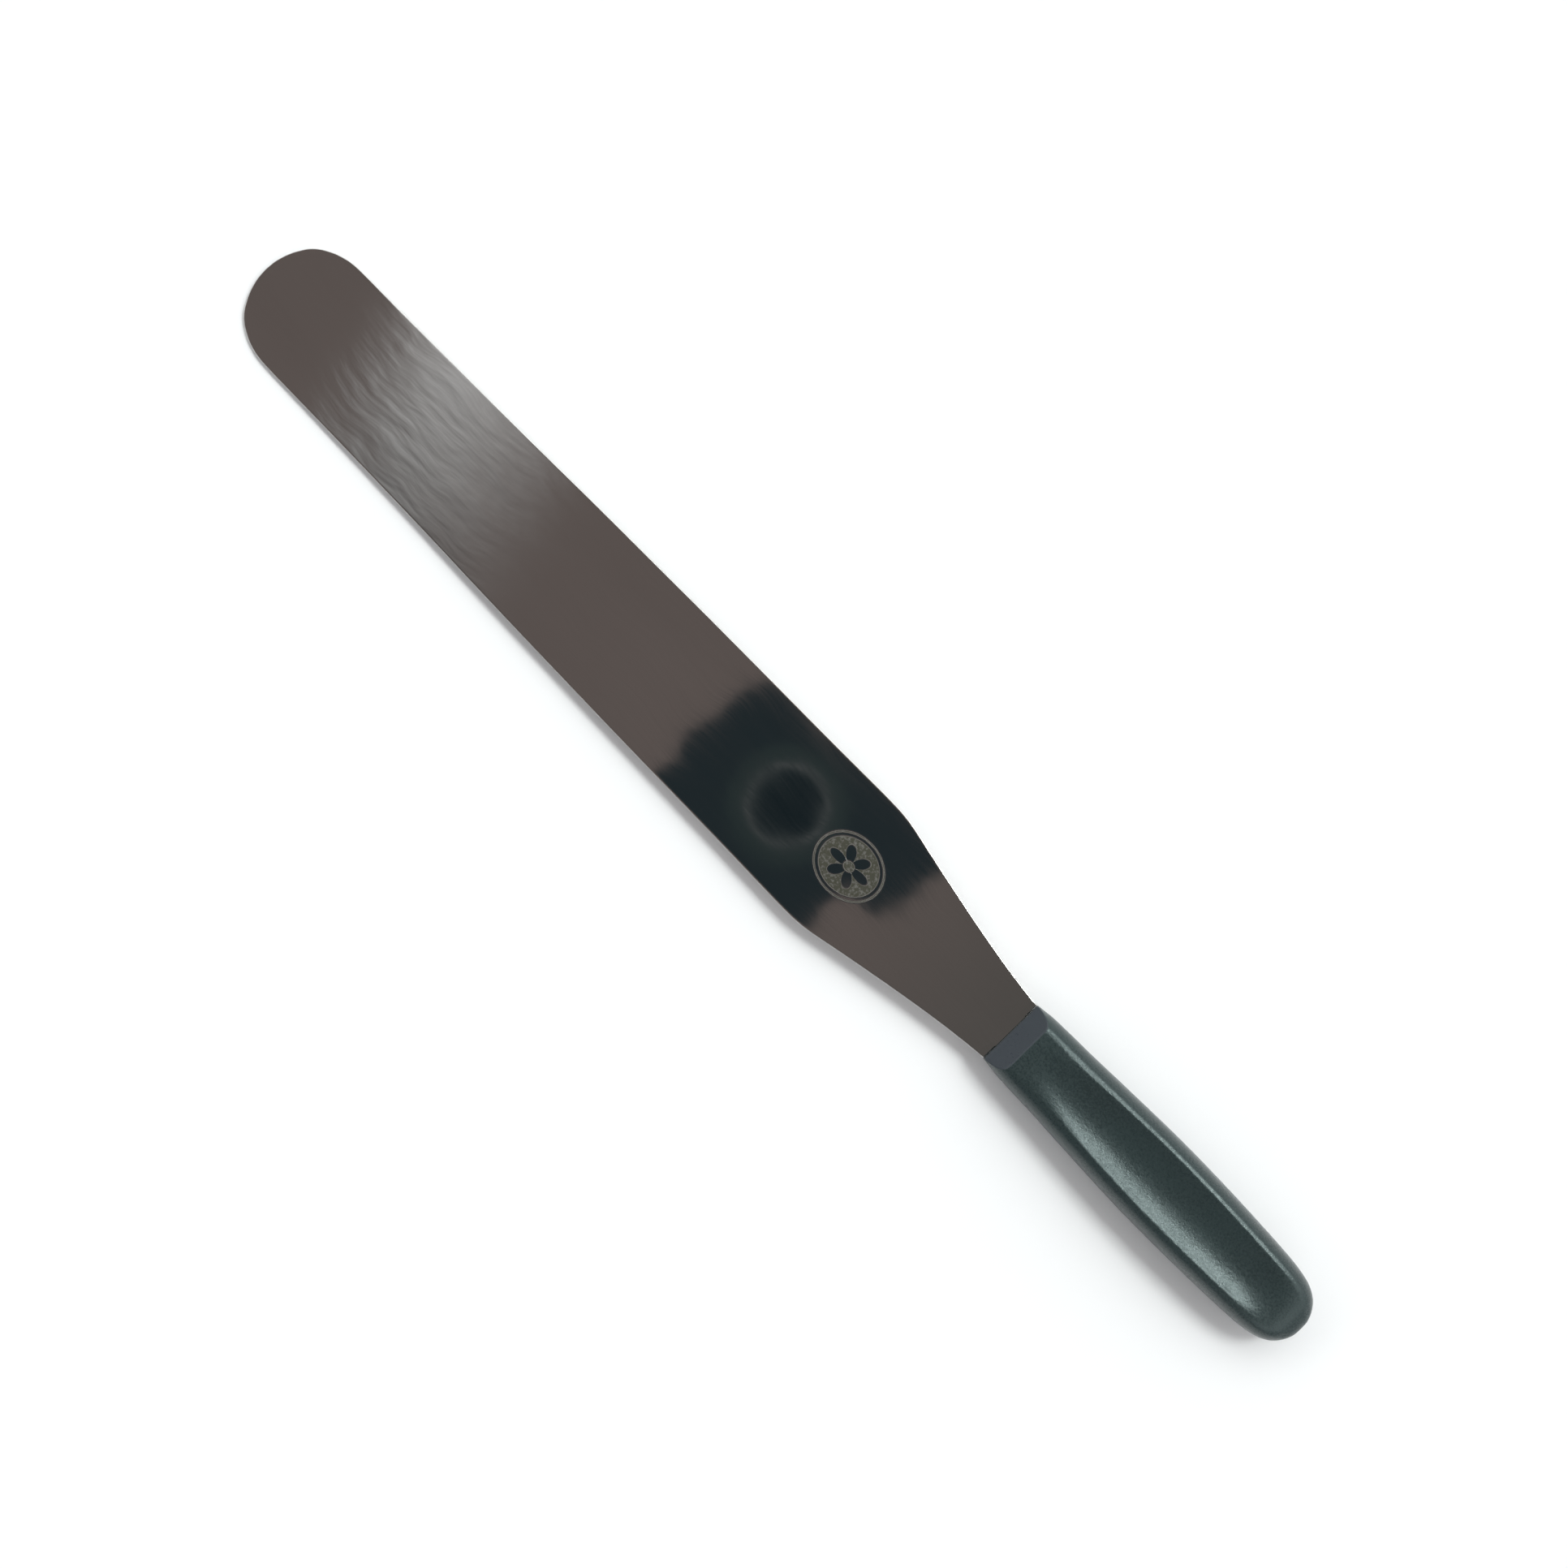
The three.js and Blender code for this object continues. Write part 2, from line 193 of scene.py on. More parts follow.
# ------------------------------------------------------------------ blade
def build_blade():
    """The blank as one sheet of quads with fully rounded edges: a grid of rows across the blade, run on into the tang."""
    e = 0.2  # radius of the polished-off edge
    tip = -BLADE_LENGTH + 17.0 * (1 - np.cos(np.linspace(0, math.pi / 2, 46)))
    body = np.concatenate([np.arange(-235, -66, 2.0), np.arange(-66, -40, 0.55), np.arange(-40, -3, 1.2), [-1.8]])
    xs = np.concatenate([tip, body[body > tip[-1] + 0.5], [-0.1]])
    ys = blade_half_width(xs)
    out = np.stack([xs, ys], 1)
    tan = np.empty_like(out)
    tan[1:-1] = out[2:] - out[:-2]
    tan[0], tan[-1] = (0, 1), (1, 0)
    tan /= np.linalg.norm(tan, axis=1, keepdims=True)
    normal = np.stack([-tan[:, 1], tan[:, 0]], 1)  # outward on the +Y side
    normal[-1] = (1, 1)  # the shoulder's corner is mitred
    inner = out - normal * e
    inner[0] = (xs[0] + e, 0)
    rows = len(xs)
    # column positions as a share of the row's half-width; the tang leaves from the two at +-ROOT
    root = (TANG_HALF_WIDTH - e) / inner[-1, 1]
    pos = sorted({0.0, 0.16, 0.32, 0.45, round(float(root), 12), 0.7, 0.82, 0.91, 0.96, 0.985, 1.0})
    share = np.array([-p for p in reversed(pos) if p > 0] + pos)
    K = len(share)
    k2 = int(np.argmin(abs(share - root)))
    k1 = K - 1 - k2
    # tang rows
    r = TANG_END_R
    ta = np.linspace(0, math.pi / 2, 9)[1:]
    tx = np.concatenate([np.linspace(2.0, TANG_LENGTH - r, 24), TANG_LENGTH - r + (r - e) * np.sin(ta)])
    tw = np.concatenate([np.full(24, TANG_HALF_WIDTH - e), TANG_HALF_WIDTH - r + (r - e) * np.cos(ta)])
    tn = np.concatenate([np.tile([[0.0, 1.0]], (24, 1)), np.stack([np.sin(ta), np.cos(ta)], 1)])
    top, idx, tidx = [(inner[0, 0], 0.0)], [[0] * K], []
    for i in range(1, rows):
        idx.append([len(top) + k for k in range(K)])
        top += [(inner[i, 0], inner[i, 1] * s) for s in share]
    kt = k2 - k1 + 1
    for x, w in zip(tx, tw):
        tidx.append([len(top) + k for k in range(kt)])
        top += [(x, w * share[k1 + k] / root) for k in range(kt)]
    # boundary of the face, from the tip down the +Y side, round the tang, and back up the -Y side
    rim, rn = [0], [(-1.0, 0.0)]
    for i in range(1, rows):
        rim.append(idx[i][K - 1]); rn.append(tuple(normal[i]))
    for k in range(K - 2, k2, -1):
        rim.append(idx[-1][k]); rn.append((1.0, 0.0))
    rim.append(idx[-1][k2]); rn.append((1.0, 1.0))
    for j in range(len(tx)):
        rim.append(tidx[j][-1]); rn.append(tuple(tn[j]))
    for k in range(kt - 2, 0, -1):
        rim.append(tidx[-1][k]); rn.append((1.0, 0.0))
    for j in reversed(range(len(tx))):
        rim.append(tidx[j][0]); rn.append((tn[j][0], -tn[j][1]))
    rim.append(idx[-1][k1]); rn.append((1.0, -1.0))
    for k in range(k1 - 1, 0, -1):
        rim.append(idx[-1][k]); rn.append((1.0, 0.0))
    for i in range(rows - 1, 0, -1):
        rim.append(idx[i][0]); rn.append((normal[i][0], -normal[i][1]))
    top = np.array(top)
    n = len(top)
    verts = [(x, y, z) for (x, y), z in zip(top, half_thickness(top[:, 0]))]
    verts += [(x, y, -z) for (x, y), z in zip(top, half_thickness(top[:, 0]))]
    faces = []

    def both(f):
        faces.append(f)
        faces.append([v + n for v in reversed(f)])

    for k in range(K - 1):
        both([0, idx[1][k], idx[1][k + 1]])
    for i in range(1, rows - 1):
        for k in range(K - 1):
            both([idx[i][k], idx[i + 1][k], idx[i + 1][k + 1], idx[i][k + 1]])
    for k in range(kt - 1):
        both([idx[-1][k1 + k], tidx[0][k], tidx[0][k + 1], idx[-1][k1 + k + 1]])
        for j in range(len(tx) - 1):
            both([tidx[j][k], tidx[j + 1][k], tidx[j + 1][k + 1], tidx[j][k + 1]])
    # rounded edge: rings from the top face's rim to the bottom face's
    rim_a, rn = np.array(rim), np.array(rn)
    base, hz = top[rim_a], half_thickness(top[rim_a][:, 0])
    rings = [rim_a.tolist()]
    steps = 5
    levels = [(math.sin(a), math.cos(a)) for a in np.linspace(0, math.pi / 2, steps + 1)[1:]]
    levels = [(o, +1, c) for o, c in levels] + [(o, -1, c) for o, c in reversed(levels)]
    for o, sgn, c in levels:
        start = len(verts)
        p = base + rn * (e * o)
        z = sgn * (hz - e * (1 - c))
        verts += [(a, b, d) for (a, b), d in zip(p, z)]
        rings.append(list(range(start, start + len(rim))))
    rings.append([v + n for v in rim])
    for a, b in zip(rings, rings[1:]):
        for j in range(len(rim)):
            j2 = (j + 1) % len(rim)
            faces.append([a[j], a[j2], b[j2], b[j]])
    ob = make_object("blade_fine", verts, faces)
    drills = []
    for hx in TANG_HOLES_X:
        drills.append(prism("drill", [(hx + TANG_HOLE_R * math.cos(a), TANG_HOLE_R * math.sin(a)) for a in np.linspace(0, 2 * math.pi, 49)[:-1]], -3, 3))
    subtract(ob, drills)
    return lay_down(ob)


# ------------------------------------------------------------------ handle
def smooth_min(a, b, k):
    h = np.maximum(k - np.abs(a - b), 0.0) / k
    return np.minimum(a, b) - h * h * k * 0.25


def crest_half_width(x):
    w = handle_half_width(x)
    return np.maximum(w - CREST_INSET, 0.42 * w)


def dish(x, y):
    """How far the dished panel lies below the crest line. It carries on upwards past its own outline."""
    inx, outx = np.clip((x - DISH_START) / 32, 0, 1), np.clip((DISH_END - x) / 17, 0, 1)
    grow = np.sin(inx * math.pi / 2) ** 1.3 * np.sin(outx * math.pi / 2) ** 1.75
    yd = crest_half_width(x) * np.clip(np.sqrt(np.clip(1 - (1 - inx) ** 2.4, 1e-4, 1)), 0, 1)
    r2 = np.minimum((y / np.maximum(yd, 1e-3)) ** 2, 2.2)
    return DISH_DEPTH * grow * (1 - r2)


def handle_ring(x, n1=34, n2=44):
    """One closed ring of the handle at station x: side wall, nose bevel or crest, dished top, and the same below."""
    w, h, c = float(handle_half_width(x)), float(handle_half_height(x)), float(crest_half_width(x))
    # softened front rim
    rr = 0.35
    off = rr - math.sqrt(max(rr * rr - (rr - min(x, rr)) ** 2, 0.0))
    w, h, c = w - off, h - off, c - off
    zp = NOSE_LAND - off + math.tan(NOSE_BEVEL) * max(x, 0.0)
    ac = math.asin(min(1.0, zp / h))
    t = np.linspace(0, 1, n1 + 1)
    alpha = ac * (1 - (1 - t) ** 1.35)
    alpha = np.concatenate([[0.0], np.arcsin(np.clip(np.array([0.05, 0.11, 0.18, 0.27]) / h, 0, 1)), alpha[2:]])
    alpha = np.sort(np.minimum(alpha, ac))
    y1 = c + (w - c) * np.cos(alpha)
    z1 = h * np.sin(alpha)
    # the mould's parting line, a fine groove all round at mid-height
    y1 = y1 - 0.075 * np.clip(1 - z1 / 0.17, 0, 1) ** 1.5 * min(1.0, w / 3.0)
    yc = y1[-1]
    u = np.linspace(0, 1, n2 + 1)[1:]
    y2 = yc * (1 - (0.35 * u**2.2 + 0.65 * u))
    y2[-1] = 0.0
    y = np.concatenate([y1, y2])
    ell = np.concatenate([z1, np.where(y2 > c, h * np.sqrt(np.clip(1 - ((y2 - c) / (w - c)) ** 2, 0, 1)), h)])
    ell = smooth_min(ell, h - CREST_FALL * (y - c), min(0.12, 0.04 * h))
    z = smooth_min(ell, h - dish(x, y), min(CREST_SOFT, 0.12 * h))
    z = smooth_min(z, np.full_like(z, zp), 0.16) if x < 9 else z
    z[0] = 0.0
    z = np.maximum(z, 0.0)
    return y, z


def build_handle():
    xs = np.concatenate([
        [0.0, 0.05, 0.12, 0.22, 0.35, 0.5, 0.75], np.arange(1.0, 4.2, 0.25), np.arange(4.2, 6.6, 0.12), np.arange(6.7, 10, 0.35),
        np.arange(10, 34, 0.6), np.arange(34, 76, 0.9), np.arange(76, 90, 0.6),
        90 + (HANDLE_LENGTH - 90) * np.sin(np.linspace(0, math.pi / 2, 44))[1:-1],
    ])
    verts, rings = [], []
    for x in xs:
        y, z = handle_ring(float(x))
        q = list(zip(y, z))
        ring = q + [(-a, b) for a, b in reversed(q[:-1])] + [(-a, -b) for a, b in q[1:]] + [(a, -b) for a, b in reversed(q[1:-1])]
        rings.append(list(range(len(verts), len(verts) + len(ring))))
        xv = x if x < 90 else 90 + (x - 90) * 0.9922
        verts += [(xv, a, b) for a, b in ring]
    n = len(rings[0])
    faces = []
    for a, b in zip(rings, rings[1:]):
        for j in range(n):
            j2 = (j + 1) % n
            faces.append([a[j], a[j2], b[j2], b[j]])
    verts.append((90 + (HANDLE_LENGTH - 90) * 0.9922, 0.0, 0.0))
    k = len(verts) - 1
    faces += [[k, rings[-1][j], rings[-1][(j + 1) % n]] for j in range(n)]
    faces.append(list(reversed(rings[0])))
    ob = make_object("handle_fine", verts, faces)
    # the tang's pocket, open at the nose, with a moulded post left standing in each of the tang's holes
    e, r = FIT_GAP, TANG_END_R + FIT_GAP
    w, end = TANG_HALF_WIDTH + e, TANG_LENGTH + e
    arc = [(end - r + r * math.sin(a), w - r + r * math.cos(a)) for a in np.linspace(0, math.pi / 2, 9)]
    outline = [(-2.0, w)] + arc + [(x, -y) for x, y in reversed(arc)] + [(-2.0, -w)]
    t = T_SHOULDER / 2 + e
    pocket = prism("pocket", outline, -t, t, holes=[(hx, 0.0, TANG_HOLE_R - e) for hx in TANG_HOLES_X])
    subtract(ob, [pocket])
    return lay_down(ob)


# ------------------------------------------------------------------ node helpers
class Tree:
    def __init__(self, tree):
        self.tree, self.nodes, self.links = tree, tree.nodes, tree.links
        self.nodes.clear()

    def new(self, kind, **values):
        node = self.nodes.new(kind)
        inputs = values.pop("inputs", {})
        for k, v in values.items():
            setattr(node, k, v)
        for k, v in inputs.items():
            if isinstance(v, bpy.types.NodeSocket):
                self.links.new(v, node.inputs[k])
            else:
                node.inputs[k].default_value = v
        return node

    def math(self, op, a, b=0.0, c=None, clamp=False):
        inputs = {0: a, 1: b}
        if c is not None:
            inputs[2] = c
        return self.new("ShaderNodeMath", operation=op, use_clamp=clamp, inputs=inputs).outputs[0]

    def noise(self, vector, scale, detail=2.0, rough=0.5, distortion=0.0, w=None):
        node = self.new("ShaderNodeTexNoise", noise_dimensions="4D" if w is not None else "3D")
        self.links.new(vector, node.inputs["Vector"])
        node.inputs["Scale"].default_value = scale
        node.inputs["Detail"].default_value = detail
        node.inputs["Roughness"].default_value = rough
        node.inputs["Distortion"].default_value = distortion
        if w is not None:
            node.inputs["W"].default_value = w
        return node.outputs["Fac"]

    def remap(self, value, a, b, c=0.0, d=1.0, kind="LINEAR"):
        node = self.new("ShaderNodeMapRange", interpolation_type=kind, inputs={0: value, 1: a, 2: b, 3: c, 4: d})
        return node.outputs[0]

    def mix_color(self, fac, a, b):
        node = self.new("ShaderNodeMix", data_type="RGBA", blend_type="MIX")
        for sock, v in ((node.inputs[0], fac), (node.inputs[6], a), (node.inputs[7], b)):
            if isinstance(v, bpy.types.NodeSocket):
                self.links.new(v, sock)
            else:
                sock.default_value = v if not isinstance(v, tuple) else (*v, 1.0)[:4]
        return node.outputs[2]

    def level_mm(self):
        """Coordinates in the knife's own level frame, in mm."""
        co = self.new("ShaderNodeTexCoord").outputs["Object"]
        m = self.new("ShaderNodeMapping", vector_type="TEXTURE", inputs={"Vector": co, "Location": tuple(LAID), "Rotation": (0, TILT, 0), "Scale": (0.001, 0.001, 0.001)})
        return m.outputs[0]

    def scaled(self, vector, x, y, z):
        return self.new("ShaderNodeMapping", vector_type="POINT", inputs={"Vector": vector, "Scale": (x, y, z)}).outputs[0]


def material(name):
    m = bpy.data.materials.new(name)
    m.use_nodes = True
    t = Tree(m.node_tree)
    out = t.new("ShaderNodeOutputMaterial")
    bsdf = t.new("ShaderNodeBsdfPrincipled")
    t.links.new(bsdf.outputs[0], out.inputs[0])
    return m, t, bsdf


def steel_material():
    m, t, bsdf = material("polished_steel")
    p = t.level_mm()
    sep = t.new("ShaderNodeSeparateXYZ", inputs={0: p})
    X, Y, Z = sep.outputs
    # very shallow waviness left by grinding
    slow = t.noise(t.scaled(p, 0.02, 0.06, 0.05), 1.0, 2.0, 0.45)
    # polishing lines: long, wandering, along the blade
    wander = t.noise(t.scaled(p, 0.034, 0.022, 0.02), 1.0, 2.0, 0.5)
    wy = t.math("MULTIPLY_ADD", wander, 10.0, Y)
    lines_v = t.new("ShaderNodeCombineXYZ", inputs={0: t.math("MULTIPLY", X, 0.052), 1: t.math("MULTIPLY", wy, 0.22), 2: Z}).outputs[0]
    lines = t.noise(lines_v, 1.0, 2.6, 0.5)
    fine_v = t.new("ShaderNodeCombineXYZ", inputs={0: t.math("MULTIPLY", X, 0.06), 1: t.math("MULTIPLY", wy, 2.6), 2: Z}).outputs[0]
    fine = t.noise(fine_v, 1.0, 3.0, 0.6)
    # the springy third next to the tip is the part that gets worked and wiped
    worked = t.math("MULTIPLY", t.remap(X, -240, -217, 0, 1, "SMOOTHSTEP"), t.remap(X, -186, -140, 1, 0, "SMOOTHSTEP"))
    # etched mark: a thin oval ring round a frosted oval with polished petals
    ex = t.math("DIVIDE", t.math("ADD", X, 55.0), 9.5)
    ey = t.math("DIVIDE", Y, 7.75)
    r = t.math("SQRT", t.math("ADD", t.math("MULTIPLY", ex, ex), t.math("MULTIPLY", ey, ey)))
    ang = t.math("ARCTAN2", ey, ex)
    petal = t.math("POWER", t.math("ABSOLUTE", t.math("COSINE", t.math("MULTIPLY", ang, 3.0))), 0.8)
    petal = t.math("MULTIPLY_ADD", petal, 0.50, 0.14)

    def step(v, at, soft=0.022):
        return t.remap(v, at - soft, at + soft)

    ring = t.math("SUBTRACT", step(r, 0.945), step(r, 1.0), clamp=True)
    disc = t.math("SUBTRACT", 1.0, step(r, 0.85))
    hollow = t.math("MULTIPLY", step(t.math("SUBTRACT", petal, r), 0.0), step(r, 0.16))
    mark = t.math("MAXIMUM", ring, t.math("MULTIPLY", disc, t.math("SUBTRACT", 1.0, hollow)))
    top_face = t.remap(Z, 0.2, 0.3)
    worn = t.remap(t.noise(t.scaled(p, 1.3, 1.3, 1.3), 1.0, 3.0, 0.65), 0.32, 0.5, 0.72, 1.0)
    mark = t.math("MULTIPLY", t.math("MULTIPLY", mark, top_face), worn, clamp=True)
    # colour
    tone = t.remap(slow, 0.3, 0.7)
    steel = t.mix_color(tone, (0.605, 0.585, 0.565), (0.635, 0.615, 0.595))
    steel = t.mix_color(t.remap(fine, 0.4, 0.75, 0.0, 0.22), steel, (0.56, 0.545, 0.53))
    steel = t.mix_color(mark, steel, (0.080, 0.078, 0.060))
    t.links.new(steel, bsdf.inputs["Base Color"])
    bsdf.inputs["Metallic"].default_value = 1.0
    # roughness: mirror bright, hazier where it is worked and in faint patches
    haze = t.remap(t.noise(t.scaled(p, 0.03, 0.11, 0.1), 1.0, 3.0, 0.55), 0.4, 0.75, 0.0, 0.016)
    rough = t.math("ADD", haze, t.math("MULTIPLY_ADD", worked, 0.055, 0.030))
    rough = t.math("ADD", rough, t.remap(fine, 0.35, 0.7, -0.006, 0.012))
    # the ground edges are left duller than the faces
    nz = t.new("ShaderNodeSeparateXYZ", inputs={0: t.new("ShaderNodeNewGeometry").outputs["Normal"]}).outputs[2]
    edge = t.remap(t.math("ABSOLUTE", nz), 0.93, 0.995, 1.0, 0.0)
    rough = t.math("MAXIMUM", rough, t.math("MULTIPLY", edge, 0.38))
    rough = t.math("MAXIMUM", rough, t.math("MULTIPLY", mark, 0.55), clamp=True)
    t.links.new(rough, bsdf.inputs["Roughness"])
    # relief, in metres
    depth = t.math("MULTIPLY_ADD", worked, 44e-6, 1.4e-6)
    height = t.math("ADD", t.math("MULTIPLY", slow, 12e-6), t.math("MULTIPLY", lines, depth))
    height = t.math("ADD", height, t.math("MULTIPLY", fine, t.math("MULTIPLY", depth, 0.025)))
    height = t.math("SUBTRACT", height, t.math("MULTIPLY", mark, 8e-6))
    bump = t.new("ShaderNodeBump", inputs={"Strength": 1.0, "Distance": 1.0, "Height": height})
    t.links.new(bump.outputs[0], bsdf.inputs["Normal"])
    return m


def plastic_material():
    m, t, bsdf = material("moulded_plastic")
    p = t.level_mm()
    sep = t.new("ShaderNodeSeparateXYZ", inputs={0: p})
    X, Y, Z = sep.outputs
    grain = t.noise(p, 1.7, 4.0, 0.68)
    coarse = t.noise(p, 0.6, 3.0, 0.55)
    cloud = t.noise(t.scaled(p, 0.05, 0.12, 0.12), 1.0, 3.0, 0.5)
    # the nose bevels come off polished steel in the mould: less grain on them. Their paler bluish-grey base colour is a
    # painted reflection of the sky the tilted bevels face
    over = t.math("SUBTRACT", t.math("ABSOLUTE", Z), t.math("MULTIPLY_ADD", X, math.tan(NOSE_BEVEL), NOSE_LAND))
    nose = t.math("MULTIPLY", t.remap(over, -0.22, -0.08, 0.0, 1.0, "SMOOTHSTEP"), t.math("LESS_THAN", X, 7.0))
    shell = t.math("SUBTRACT", 1.0, nose)
    base = t.mix_color(t.remap(grain, 0.32, 0.70), (0.0165, 0.0252, 0.0258), (0.0300, 0.0418, 0.0415))
    base = t.mix_color(t.remap(cloud, 0.3, 0.7, 0.0, 0.4), base, (0.0200, 0.0335, 0.0340))
    # painted reflection: the bevels' bluish-grey base colour stands in for the light their tilted faces mirror, not a
    # colour of the plastic
    base = t.mix_color(t.math("MULTIPLY", nose, 0.9), base, (0.0375, 0.0405, 0.0505))
    t.links.new(base, bsdf.inputs["Base Color"])
    bsdf.inputs["IOR"].default_value = 1.49
    bsdf.inputs["Specular Tint"].default_value = (0.86, 1.0, 0.98, 1.0)
    rough = t.math("ADD", t.remap(grain, 0.3, 0.7, 0.22, 0.36), t.remap(cloud, 0.3, 0.7, -0.03, 0.03))
    rough = t.math("ADD", rough, t.math("MULTIPLY", nose, 0.03), clamp=True)
    t.links.new(rough, bsdf.inputs["Roughness"])
    height = t.math("ADD", t.math("MULTIPLY", grain, 50e-6), t.math("MULTIPLY", coarse, 56e-6))
    height = t.math("MULTIPLY", height, t.math("ADD", t.math("MULTIPLY", shell, 0.93), 0.07))
    bump = t.new("ShaderNodeBump", inputs={"Strength": 1.0, "Distance": 1.0, "Height": height})
    t.links.new(bump.outputs[0], bsdf.inputs["Normal"])
    return m


# ------------------------------------------------------------------ the pieces
blade = build_blade()
blade.data.materials.clear()
blade.data.materials.append(steel_material())
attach(blade, "root")
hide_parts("blade")

handle = build_handle()
handle.data.materials.clear()
handle.data.materials.append(plastic_material())
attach(handle, "root")
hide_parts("handle")

# ------------------------------------------------------------------ studio
# floor
fm, ft, fb = material("pale_floor")
fb.inputs["Base Color"].default_value = (0.94, 0.925, 0.92, 1)
fb.inputs["Roughness"].default_value = 0.9
fb.inputs["Specular IOR Level"].default_value = 0.2
me = bpy.data.meshes.new("floor")
s = 8.0
me.from_pydata([(-s, -s, 0), (s, -s, 0), (s, s, 0), (-s, s, 0)], [], [(0, 1, 2, 3)])
floor = bpy.data.objects.new("floor", me)
floor.location.z = CAD_BOX[0][2] - 0.0002
me.materials.append(fm)
bpy.context.scene.collection.objects.link(floor)

# world: dim warm grey overhead, paler towards the horizon, a soft window over the blade's tip end, and one long key softbox
w = bpy.data.worlds.new("studio")
bpy.context.scene.world = w
w.use_nodes = True
wt = Tree(w.node_tree)
wout = wt.new("ShaderNodeOutputWorld")
bg = wt.new("ShaderNodeBackground")
wt.links.new(bg.outputs[0], wout.inputs[0])
d = wt.new("ShaderNodeTexCoord").outputs["Generated"]
d = wt.new("ShaderNodeMapping", vector_type="TEXTURE", inputs={"Vector": d, "Rotation": (0, TILT, 0)}).outputs[0]
ds = wt.new("ShaderNodeSeparateXYZ", inputs={0: d})
DX, DY, DZ = ds.outputs
zc = wt.math("MAXIMUM", DZ, 0.05)
U, V = wt.math("DIVIDE", DX, zc), wt.math("DIVIDE", DY, zc)
# where a straight-down look meets this direction in the flat of the blade, in mm on the blade
XB, YB = wt.math("MULTIPLY_ADD", U, 650.0, -79.88), wt.math("MULTIPLY_ADD", V, 650.0, 2.675)
overhead = wt.mix_color(wt.remap(XB, -60, 10, 0, 1, "SMOOTHSTEP"), (0.157, 0.134, 0.128), (0.113, 0.108, 0.103))
side = wt.remap(DY, -0.15, 0.45, 0.0, 1.0, "SMOOTHSTEP")
mid = wt.mix_color(side, (0.24, 0.255, 0.27), (2.02, 2.12, 2.15))
low = wt.mix_color(side, (0.34, 0.355, 0.38), (0.95, 0.98, 1.0))
ends = wt.math("MULTIPLY", wt.remap(wt.math("ABSOLUTE", DX), 0.45, 0.65, 0, 1, "SMOOTHSTEP"), wt.remap(DZ, 0.44, 0.58, 0, 1, "SMOOTHSTEP"))
ring = wt.mix_color(wt.remap(DZ, 0.70, 0.50, 0.0, 1.0, "SMOOTHSTEP"), mid, low)
ring = wt.mix_color(ends, ring, (1.70, 1.75, 1.77))
skirt = wt.mix_color(side, (0.97, 0.975, 0.98), (1.10, 1.12, 1.14))
ring = wt.mix_color(wt.remap(DZ, 0.20, 0.08, 0.0, 1.0, "SMOOTHSTEP"), ring, skirt)
sky = wt.mix_color(wt.remap(DZ, 0.86, 0.70, 0.0, 1.0, "SMOOTHSTEP"), overhead, ring)
# soft pale window high over the blade's tip end, brighter towards +Y
slant = wt.math("MULTIPLY_ADD", YB, 0.28, XB)
pu = wt.math("MULTIPLY", wt.remap(slant, -221, -207, 0, 1, "SMOOTHSTEP"), wt.remap(slant, -210, -158, 1, 0, "SMOOTHSTEP"))
pu = wt.math("MULTIPLY", pu, wt.math("MULTIPLY", wt.remap(V, -0.25, -0.10, 0, 1, "SMOOTHSTEP"), wt.remap(V, 0.18, 0.32, 1, 0, "SMOOTHSTEP")))
pv = wt.remap(V, -0.06, 0.13, 0.08, 1.42)
glow = wt.new("ShaderNodeCombineColor", inputs={0: wt.math("MULTIPLY", pv, 0.97), 1: pv, 2: wt.math("MULTIPLY", pv, 1.02)}).outputs[0]
sky = wt.mix_color(pu, sky, glow)
# the key: one long softbox on the +Y side, 30 degrees off the vertical
KEY = math.radians(30.5)
kc = wt.math("ADD", wt.math("MULTIPLY", DY, math.sin(KEY)), wt.math("MULTIPLY", DZ, math.cos(KEY)))
kv = wt.math("SUBTRACT", wt.math("MULTIPLY", DY, math.cos(KEY)), wt.math("MULTIPLY", DZ, math.sin(KEY)))
kcc = wt.math("MAXIMUM", kc, 0.05)
ku, kv = wt.math("ABSOLUTE", wt.math("DIVIDE", DX, kcc)), wt.math("ABSOLUTE", wt.math("DIVIDE", kv, kcc))
panel = wt.math("MULTIPLY", wt.remap(ku, 0.40, 0.52, 1, 0, "SMOOTHSTEP"), wt.remap(kv, 0.09, 0.16, 1, 0, "SMOOTHSTEP"))
panel = wt.math("MULTIPLY", panel, wt.math("GREATER_THAN", kc, 0.1))
# it is brightest over the middle of the handle and falls off to both ends
kx = wt.math("DIVIDE", wt.math("SUBTRACT", wt.math("DIVIDE", DX, kcc), 0.240), 0.08)
fall = wt.math("MULTIPLY_ADD", wt.math("EXPONENT", wt.math("MULTIPLY", wt.math("MULTIPLY", kx, kx), -1.0)), 2.00, 0.27)
soft = wt.new("ShaderNodeCombineColor", inputs={0: wt.math("MULTIPLY", fall, 13.6), 1: wt.math("MULTIPLY", fall, 14.4), 2: wt.math("MULTIPLY", fall, 14.4)}).outputs[0]
sky = wt.mix_color(panel, sky, soft)


def box_mask(cx, cy, hx, hy, rad, soft):
    """1 inside a rounded box on the blade's plane, fading out over its edge."""
    qx = wt.math("ADD", wt.math("ABSOLUTE", wt.math("SUBTRACT", XB, cx)), rad - hx)
    qy = wt.math("ADD", wt.math("ABSOLUTE", wt.math("SUBTRACT", YB, cy)), rad - hy)
    ax, ay = wt.math("MAXIMUM", qx, 0.0), wt.math("MAXIMUM", qy, 0.0)
    far = wt.math("SQRT", wt.math("ADD", wt.math("MULTIPLY", ax, ax), wt.math("MULTIPLY", ay, ay)))
    near = wt.math("MINIMUM", wt.math("MAXIMUM", qx, qy), 0.0)
    return wt.remap(wt.math("ADD", far, near), rad - soft, rad + soft, 1, 0, "SMOOTHSTEP")


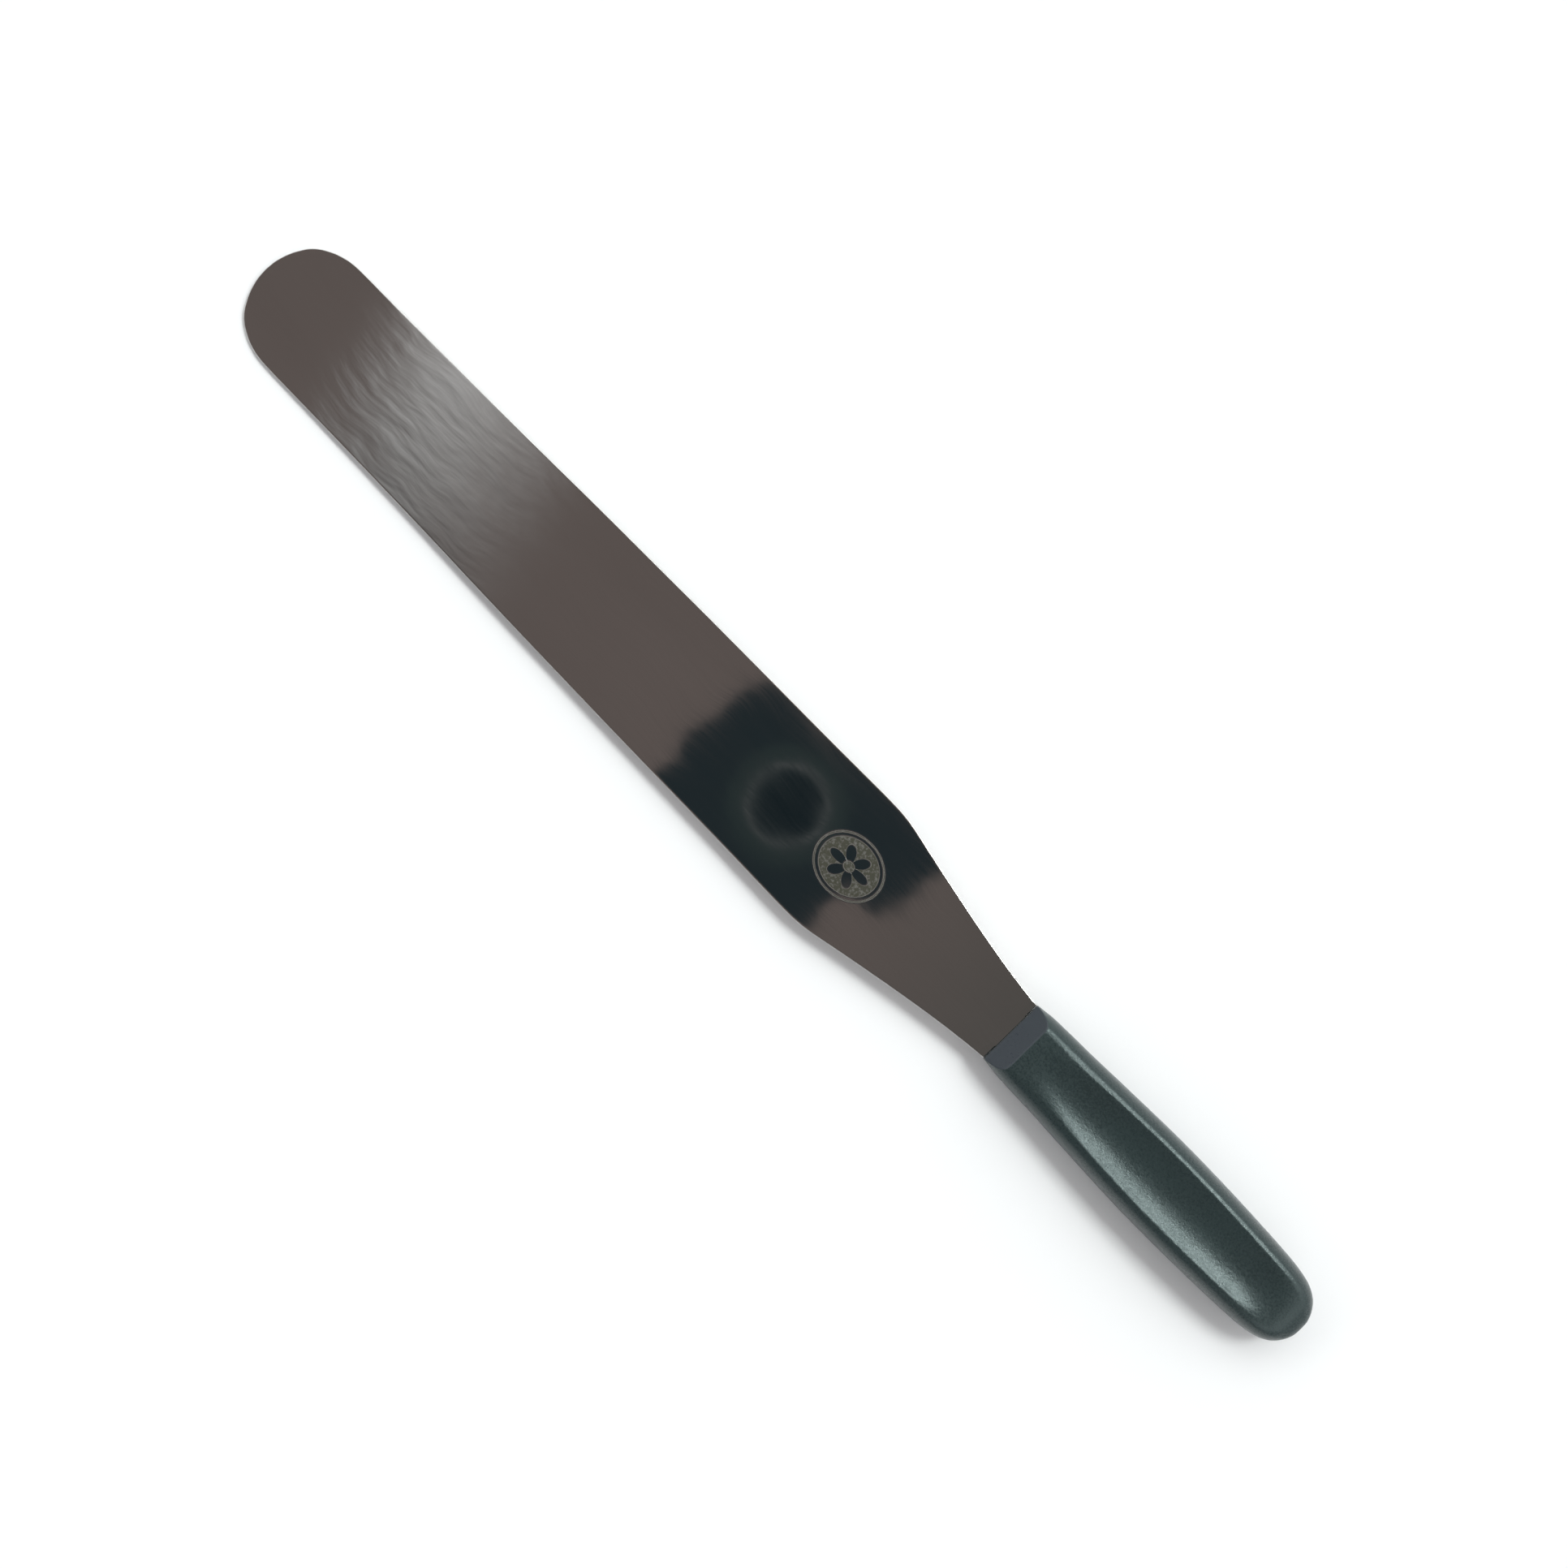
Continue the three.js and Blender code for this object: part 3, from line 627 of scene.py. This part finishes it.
# the dark underside of the camera that looks straight down: a body, a grip and a lens barrel
wob = wt.noise(wt.new("ShaderNodeCombineXYZ", inputs={0: XB, 1: YB}).outputs[0], 0.11, 3.0, 0.6)
RX, RY = XB, YB
XB, YB = wt.math("ADD", XB, wt.math("MULTIPLY_ADD", wob, 9.0, -4.5)), wt.math("ADD", YB, wt.math("MULTIPLY_ADD", wob, -7.0, 3.5))
body = wt.math("MAXIMUM", box_mask(-79.0, -10.0, 25.5, 29.0, 9.0, 1.1), box_mask(-59.5, 9.0, 19.0, 12.5, 6.0, 1.1))
XB, YB = RX, RY
lx, ly = wt.math("ADD", XB, 77.0), wt.math("ADD", YB, 0.2)
lr = wt.math("SQRT", wt.math("ADD", wt.math("MULTIPLY", lx, lx), wt.math("MULTIPLY", ly, ly)))
dark = wt.mix_color(wt.remap(lr, 13.5, 15.5, 0, 1, "SMOOTHSTEP"), (0.030, 0.045, 0.047), (0.021, 0.032, 0.038))
rim = wt.math("MULTIPLY", wt.remap(lr, 8.3, 9.1, 0, 1, "SMOOTHSTEP"), wt.remap(lr, 9.5, 10.3, 1, 0, "SMOOTHSTEP"))
dark = wt.mix_color(wt.math("MULTIPLY", rim, 0.7), dark, (0.14, 0.145, 0.15))
dark = wt.mix_color(wt.remap(lr, 7.4, 8.8, 1, 0, "SMOOTHSTEP"), dark, (0.012, 0.021, 0.026))
sky = wt.mix_color(body, sky, dark)
wt.links.new(sky, bg.inputs["Color"])


# ------------------------------------------------------------------ camera, square to the blade, straight above it
D = 0.650
right = Vector((0.69877857, 0.71533804, 0.0))
upv = Vector((-0.71533804, 0.69877857, 0.0))
fwd = Vector((0.0, 0.0, 1.0))
cam_data = bpy.data.cameras.new("camera")
cam_data.sensor_width = 36.0
cam_data.lens = 36.0 * D / 0.37378
cam = bpy.data.objects.new("camera", cam_data)
local = Matrix.Translation(Vector((-0.07988, 0.002675, D))) @ Matrix((right, upv, fwd)).transposed().to_4x4()
cam.matrix_world = PLACE @ local
bpy.context.scene.collection.objects.link(cam)
bpy.context.scene.camera = cam

bpy.context.scene.view_settings.view_transform = "Standard"
bpy.context.scene.view_settings.look = "None"
